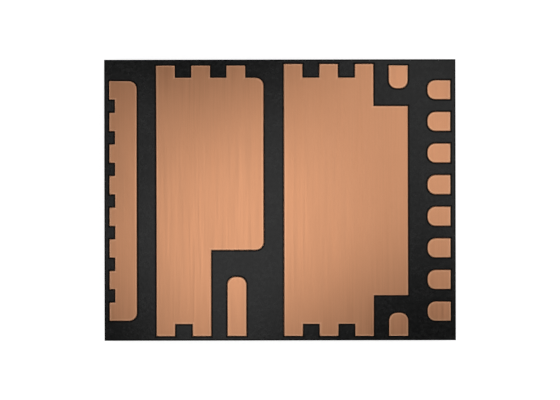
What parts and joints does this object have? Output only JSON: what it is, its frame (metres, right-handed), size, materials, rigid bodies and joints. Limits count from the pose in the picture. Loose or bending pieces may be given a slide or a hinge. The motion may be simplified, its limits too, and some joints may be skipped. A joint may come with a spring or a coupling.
{
  "type": "integrated circuit",
  "caption": "Leadless moulded power package with toothed copper power lands and round-ended signal lands on its solder face.",
  "frame": {"origin": "middle of the plain face, on which the package lies with its lands up", "axes": "+Z out of the face with the lands, +X along the long side from the toothed strip land to the column of signal lands, +Y along the short side"},
  "size_m": [0.005, 0.004, 0.0009],
  "materials": {
    "mold_compound": "black epoxy moulding compound, satin, with fine pale and dark filler specks and sawn side walls",
    "copper": "bare copper sheet, fine rolling lines along its length, edges slightly rounded by etching",
    "silicon": "ground silicon, dark grey",
    "solder": "reflowed tin solder, bright grey"
  },
  "bodies": {
    "root": {"molded_body": "mold_compound", "silicon_die": "silicon", "power_land_strip": "copper", "power_land_middle": "copper", "power_land_right": "copper", "signal_land_top": "copper", "signal_land_bottom": "copper", "signal_land_long": "copper", "signal_land_1": "copper", "signal_land_2": "copper", "signal_land_3": "copper", "signal_land_4": "copper", "signal_land_5": "copper", "signal_land_6": "copper", "signal_land_7": "copper", "signal_land_8": "copper", "signal_bump_1": "solder", "signal_bump_2": "solder", "signal_bump_3": "solder", "signal_bump_4": "solder", "signal_bump_5": "solder", "signal_bump_6": "solder", "signal_bump_7": "solder", "signal_bump_8": "solder", "signal_bump_9": "solder", "signal_bump_10": "solder", "signal_bump_11": "solder", "signal_bump_12": "solder", "power_bump_1": "solder", "power_bump_2": "solder", "power_bump_3": "solder", "power_bump_4": "solder", "power_bump_5": "solder", "power_bump_6": "solder", "power_bump_7": "solder", "power_bump_8": "solder", "power_bump_9": "solder", "power_bump_10": "solder", "power_bump_11": "solder", "power_bump_12": "solder", "power_bump_13": "solder", "power_bump_14": "solder", "power_bump_15": "solder", "power_bump_16": "solder", "power_bump_17": "solder", "power_bump_18": "solder", "power_bump_19": "solder", "power_bump_20": "solder", "power_bump_21": "solder", "power_bump_22": "solder"}
  },
  "joints": []
}
